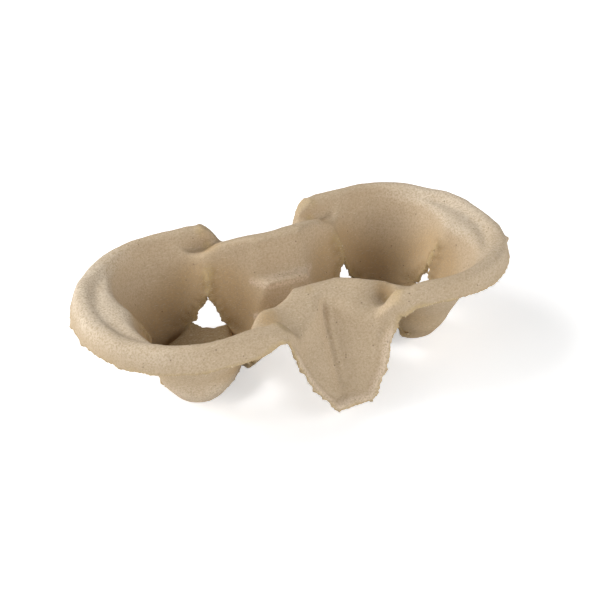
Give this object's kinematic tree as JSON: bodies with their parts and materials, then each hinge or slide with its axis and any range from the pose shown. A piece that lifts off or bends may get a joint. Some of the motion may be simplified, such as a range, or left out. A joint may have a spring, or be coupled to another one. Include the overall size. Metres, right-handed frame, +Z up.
{
  "type": "two-cup carrier",
  "caption": "Moulded pulp carrier with two round cells joined by a bridge, a raised rim at each end and a swept-back tongue on each side; holds take-away cups.",
  "frame": {"origin": "middle of the base, between the two cells, at the level the toes rest on", "axes": "+X along the carrier from cell to cell, +Y across the bridge towards a tongue, +Z up"},
  "size_m": [0.2148, 0.1198, 0.0526],
  "materials": {
    "pulp": "matt, unbleached moulded paper pulp with a fine felted grain"
  },
  "bodies": {
    "root": {"cup_carrier": "pulp"}
  },
  "joints": []
}
